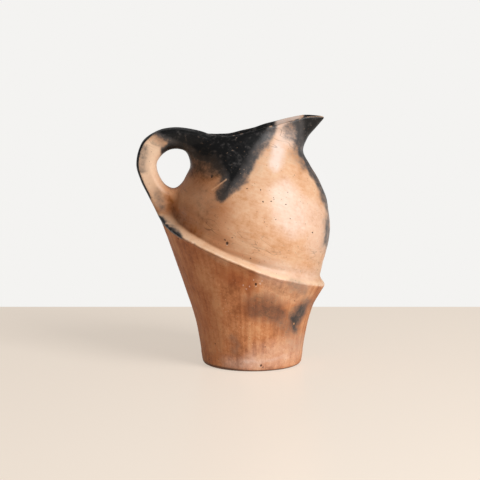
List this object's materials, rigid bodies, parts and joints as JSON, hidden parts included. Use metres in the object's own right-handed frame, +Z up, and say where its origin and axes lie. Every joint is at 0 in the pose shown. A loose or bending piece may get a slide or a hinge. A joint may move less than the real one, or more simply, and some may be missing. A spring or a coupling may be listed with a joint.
{
  "type": "pouring jug",
  "caption": "Hand-built earthenware pouring jug with a flared lower wall, slanted ridge, round belly, beaked spout and strap handle.",
  "frame": {"origin": "centre of the foot's underside, on the surface that the jug stands on", "axes": "+Z up, +X towards the spout, the handle towards -X, +Y to the jug's left when the spout points away"},
  "size_m": [0.2122, 0.1808, 0.2744],
  "materials": {
    "scraped_clay": "scraped, unglazed",
    "burnished_clay": "burnished, unglazed",
    "smoked_clay": "burnished, smoke-blackened"
  },
  "bodies": {
    "root": {"floor_slab": "scraped_clay", "lower_wall_course_1": "scraped_clay", "lower_wall_course_2": "scraped_clay", "lower_wall_course_3": "scraped_clay", "ridge_collar": "burnished_clay", "belly_course_1": "burnished_clay", "belly_course_2": "burnished_clay", "belly_course_3": "burnished_clay", "neck_course": "burnished_clay", "spout_rim": "smoked_clay", "strap_handle": "smoked_clay"}
  },
  "joints": []
}
